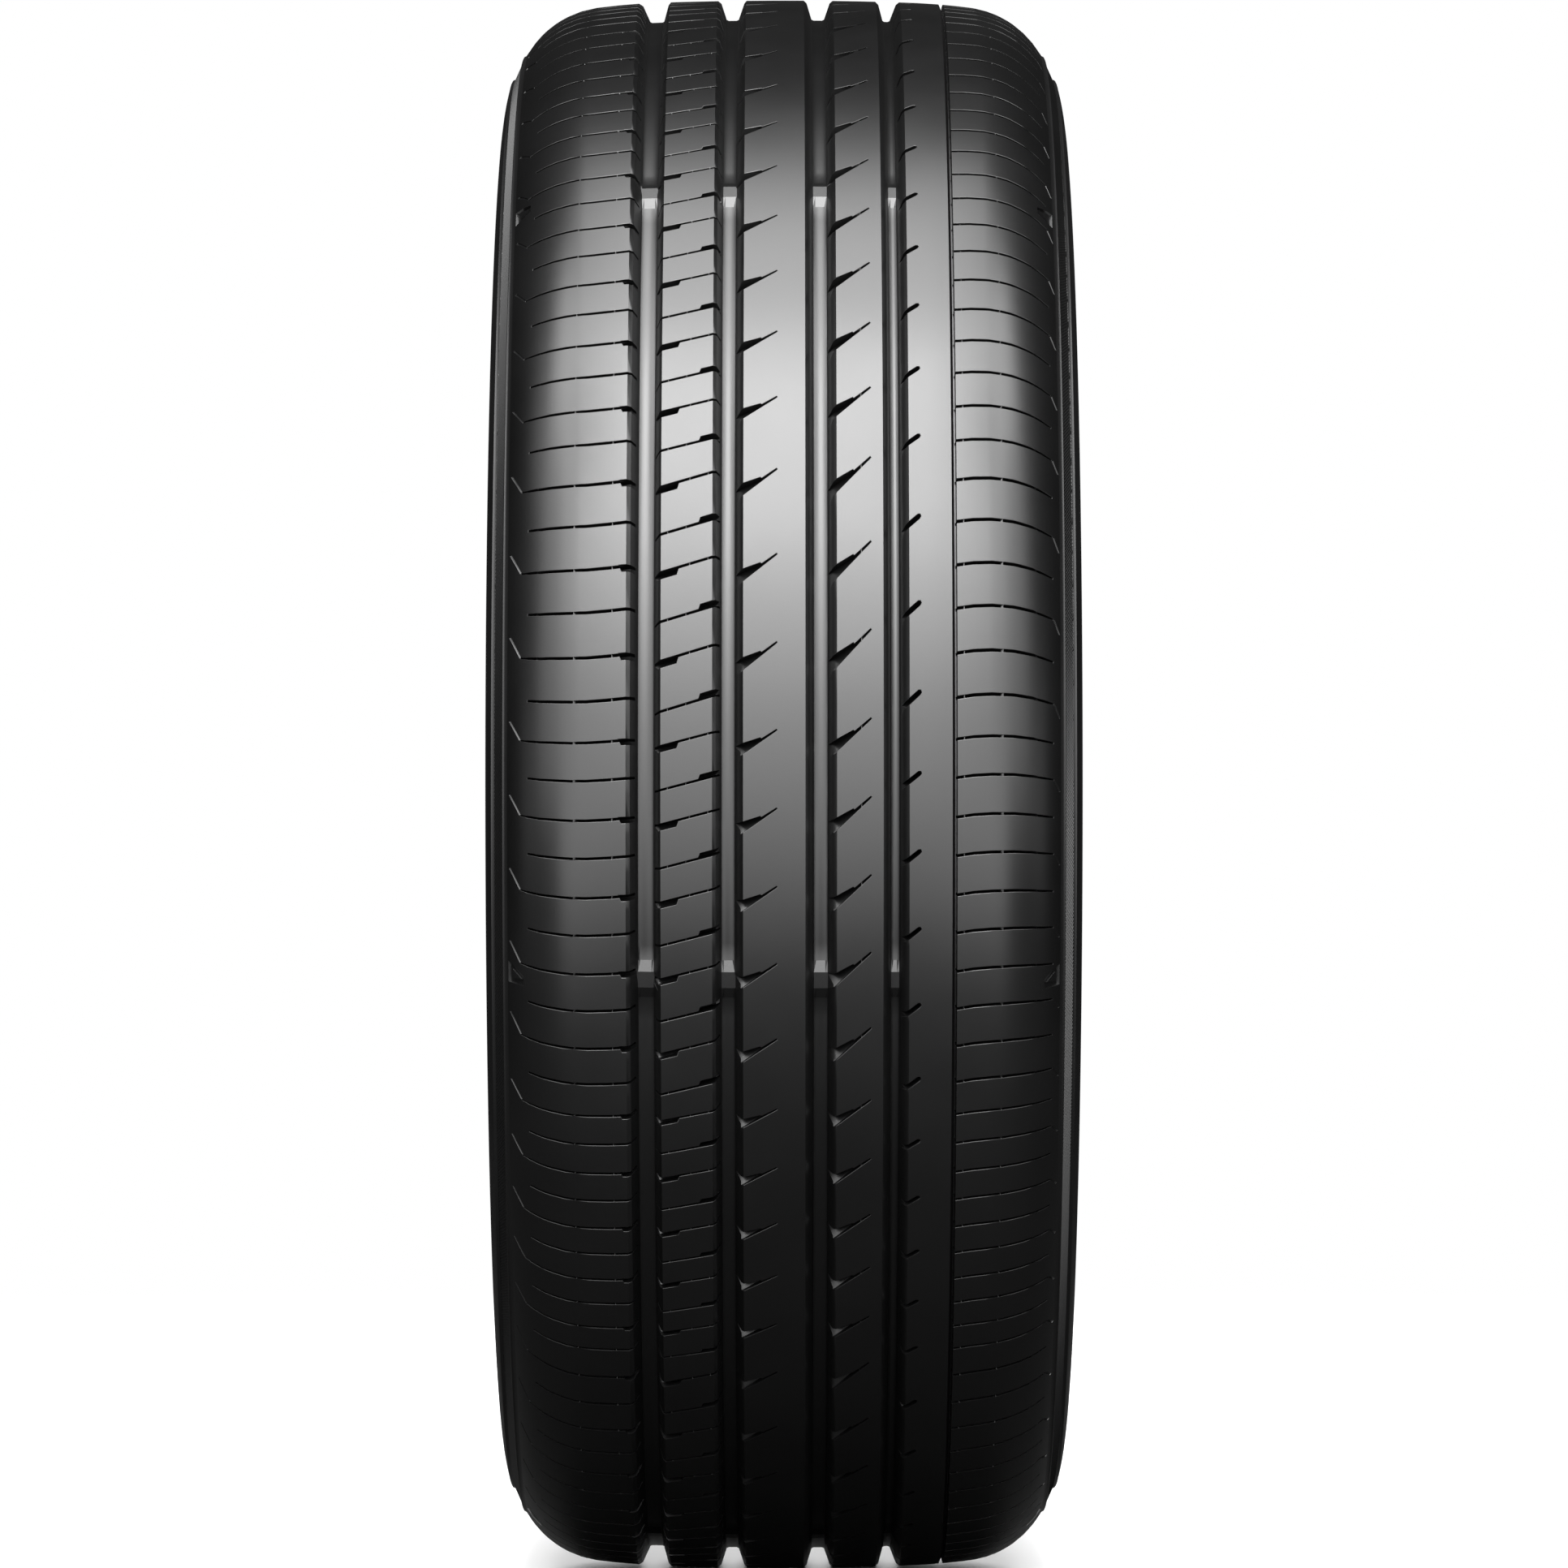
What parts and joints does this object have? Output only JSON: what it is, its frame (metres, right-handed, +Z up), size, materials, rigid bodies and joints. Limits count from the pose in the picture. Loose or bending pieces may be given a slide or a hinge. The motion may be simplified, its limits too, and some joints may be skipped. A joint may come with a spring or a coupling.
{
  "type": "car tyre",
  "caption": "Low-profile road tyre for a passenger car, with straight circumferential grooves, slanted notches in the ribs, rounded shoulders and two beads that seat on a wheel rim.",
  "frame": {"origin": "centre of the tyre, on the axle's line, midway between the two bead heels", "axes": "+Y along the axle, towards the side with the narrowest groove; +Z up, with the tyre standing on its tread; +X forward"},
  "size_m": [0.6341, 0.2236, 0.6342],
  "materials": {
    "tyre": "matt moulded black rubber"
  },
  "bodies": {
    "root": {"tyre": "tyre"}
  },
  "joints": []
}
